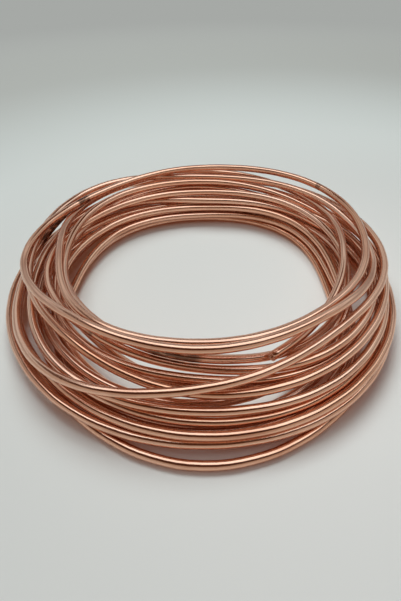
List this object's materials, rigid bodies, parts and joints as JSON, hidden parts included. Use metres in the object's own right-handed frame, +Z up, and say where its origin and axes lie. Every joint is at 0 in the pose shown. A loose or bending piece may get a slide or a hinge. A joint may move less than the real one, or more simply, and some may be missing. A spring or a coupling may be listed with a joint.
{
  "type": "copper tube coil",
  "caption": "Loose coil of thin soft copper tube, wound in crossing turns round an open eye, with square-cut open ends.",
  "frame": {"origin": "middle of the coil's footprint, on the floor it lies on", "axes": "+Z up, along the axis of the coil's eye; -Y towards the front of the coil"},
  "size_m": [0.3194, 0.3234, 0.0563],
  "materials": {
    "copper": "bright drawn, lightly handled"
  },
  "bodies": {
    "root": {"copper_tube_coil": "copper"}
  },
  "joints": []
}
